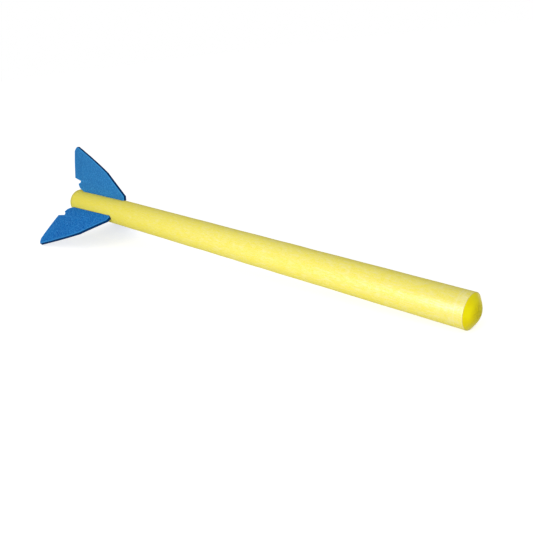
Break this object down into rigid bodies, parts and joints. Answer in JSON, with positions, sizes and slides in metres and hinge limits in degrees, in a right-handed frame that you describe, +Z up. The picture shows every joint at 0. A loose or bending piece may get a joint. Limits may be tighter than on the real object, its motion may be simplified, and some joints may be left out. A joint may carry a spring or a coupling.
{
  "type": "foam javelin",
  "caption": "Soft throwing javelin: a straight foam tube with a low domed rubber nose plug and swept sheet-foam fins set in slits near the tail.",
  "frame": {"origin": "centre of the bounding box's base, on the floor that the javelin lies on", "axes": "+X along the javelin towards the nose, +Z up as it lies on its front end and its two lower fins, +Y to its left"},
  "size_m": [0.935, 0.1952, 0.1843],
  "materials": {
    "shaft_foam": "matte closed-cell polyethylene foam, pale yellow",
    "nose_rubber": "satin moulded soft rubber, strong yellow",
    "fin_foam": "matte sheet foam, blue"
  },
  "bodies": {
    "root": {"foam_shaft": "shaft_foam", "nose_plug": "nose_rubber", "fin_top": "fin_foam", "fin_right": "fin_foam", "fin_left": "fin_foam"}
  },
  "joints": []
}
